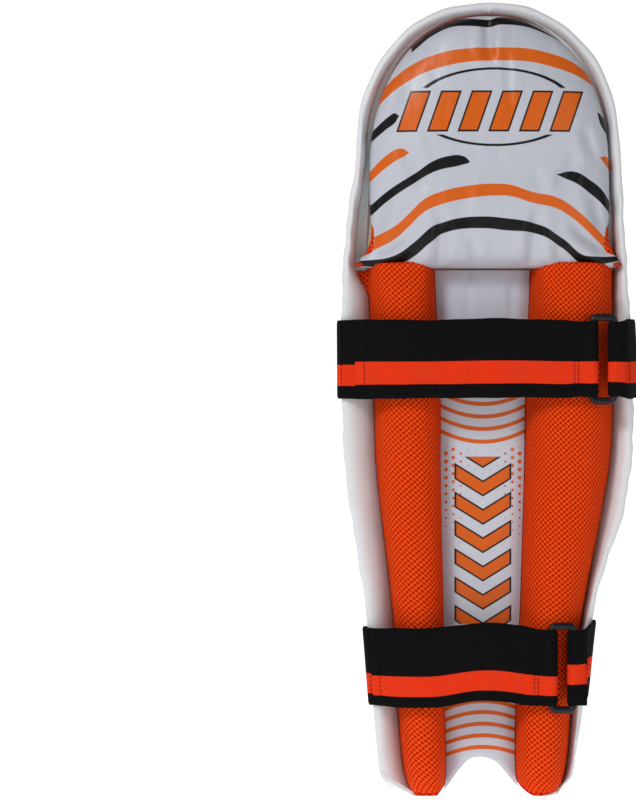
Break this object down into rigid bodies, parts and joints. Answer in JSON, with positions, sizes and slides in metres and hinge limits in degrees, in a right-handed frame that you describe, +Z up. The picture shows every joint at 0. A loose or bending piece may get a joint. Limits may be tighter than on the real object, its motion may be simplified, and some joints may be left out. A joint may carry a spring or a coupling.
{
  "type": "cricket leg pad",
  "caption": "Child's batting leg pad: bowed ribbed white shell, knee cushion and side bolsters behind, closed by webbing straps through plastic rings.",
  "frame": {"origin": "on the leg's axis: in the plane of the shell's back rim, on the pad's centre line, level with the lowest edge", "axes": "+Z up the leg as worn, +Y from the struck front towards the leg and straps, +X towards the narrow bolster, away from the rings"},
  "size_m": [0.2121, 0.0856, 0.5596],
  "materials": {
    "shell_foam_skin": "matt white moulded foam skin with a fine diamond emboss",
    "inner_foam": "open cut foam",
    "air_mesh": "orange knitted spacer mesh with rows of small holes",
    "printed_sheet": "white coated sheet with glossy orange and black print",
    "label_print": "red flexible label with white pinstripes",
    "thread": "twisted orange thread and mesh edge",
    "webbing": "black woven webbing with a bright orange stripe",
    "ring_plastic": "satin black moulded plastic",
    "hook_and_loop": "matt black hook-and-loop tape"
  },
  "bodies": {
    "root": {"front_shell": "shell_foam_skin", "shin_core": "inner_foam", "knee_core": "inner_foam", "dome_core": "inner_foam", "back_lining": "air_mesh", "centre_panel": "printed_sheet", "bolster_cover_narrow": "air_mesh", "bolster_foam_narrow": "inner_foam", "bolster_cover_wide": "air_mesh", "bolster_foam_wide": "inner_foam", "knee_cushion_face": "printed_sheet", "knee_cushion_gusset": "air_mesh", "knee_cushion_foam": "inner_foam", "size_label": "label_print", "corner_tack_narrow": "thread", "corner_tack_wide": "thread", "upper_tab_narrow": "webbing", "upper_tab_wide": "webbing", "upper_loop_patch": "hook_and_loop", "lower_tab_narrow": "webbing", "lower_tab_wide": "webbing", "lower_loop_patch": "hook_and_loop"},
    "upper_ring": {"upper_ring": "ring_plastic"},
    "upper_strap": {"upper_strap": "webbing", "upper_hook_patch": "hook_and_loop"},
    "lower_ring": {"lower_ring": "ring_plastic"},
    "lower_strap": {"lower_strap": "webbing", "lower_hook_patch": "hook_and_loop"}
  },
  "joints": [
    {"name": "upper_ring_hinge", "type": "hinge", "parent": "root", "child": "upper_ring", "pos_m": [-0.0864, 0.025, 0.3085], "axis": [0, 0, 1], "range_deg": [0, 75]},
    {"name": "upper_strap_hinge", "type": "hinge", "parent": "upper_ring", "child": "upper_strap", "pos_m": [-0.071, 0.025, 0.3085], "axis": [0, 0, 1], "range_deg": [0, 105]},
    {"name": "lower_ring_hinge", "type": "hinge", "parent": "root", "child": "lower_ring", "pos_m": [-0.058, 0.025, 0.093], "axis": [0, 0, 1], "range_deg": [0, 75]},
    {"name": "lower_strap_hinge", "type": "hinge", "parent": "lower_ring", "child": "lower_strap", "pos_m": [-0.0426, 0.025, 0.093], "axis": [0, 0, 1], "range_deg": [0, 105]}
  ]
}
